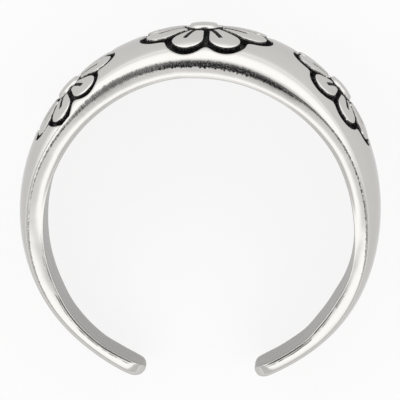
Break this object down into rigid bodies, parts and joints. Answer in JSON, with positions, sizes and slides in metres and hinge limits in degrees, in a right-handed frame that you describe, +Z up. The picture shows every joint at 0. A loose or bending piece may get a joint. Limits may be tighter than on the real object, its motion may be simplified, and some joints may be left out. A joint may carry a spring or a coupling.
{
  "type": "toe ring",
  "caption": "Open adjustable silver toe ring: a domed band tapering to rounded ends, with relief flowers standing in darkened recesses.",
  "frame": {"origin": "on the floor, under the middle of the bounding box of the ring as it lies on its side", "axes": "+X across the gap between the two ends, +Y from the gap to the middle flower, +Z up. The bore axis leans 6.8 degrees from +Z toward -Y because the rim it lies on is slanted"},
  "size_m": [0.0178, 0.0174, 0.0066],
  "materials": {
    "silver": "polished sterling silver, fine brush marks inside, black patina in the recesses"
  },
  "bodies": {
    "root": {"band": "silver"}
  },
  "joints": []
}
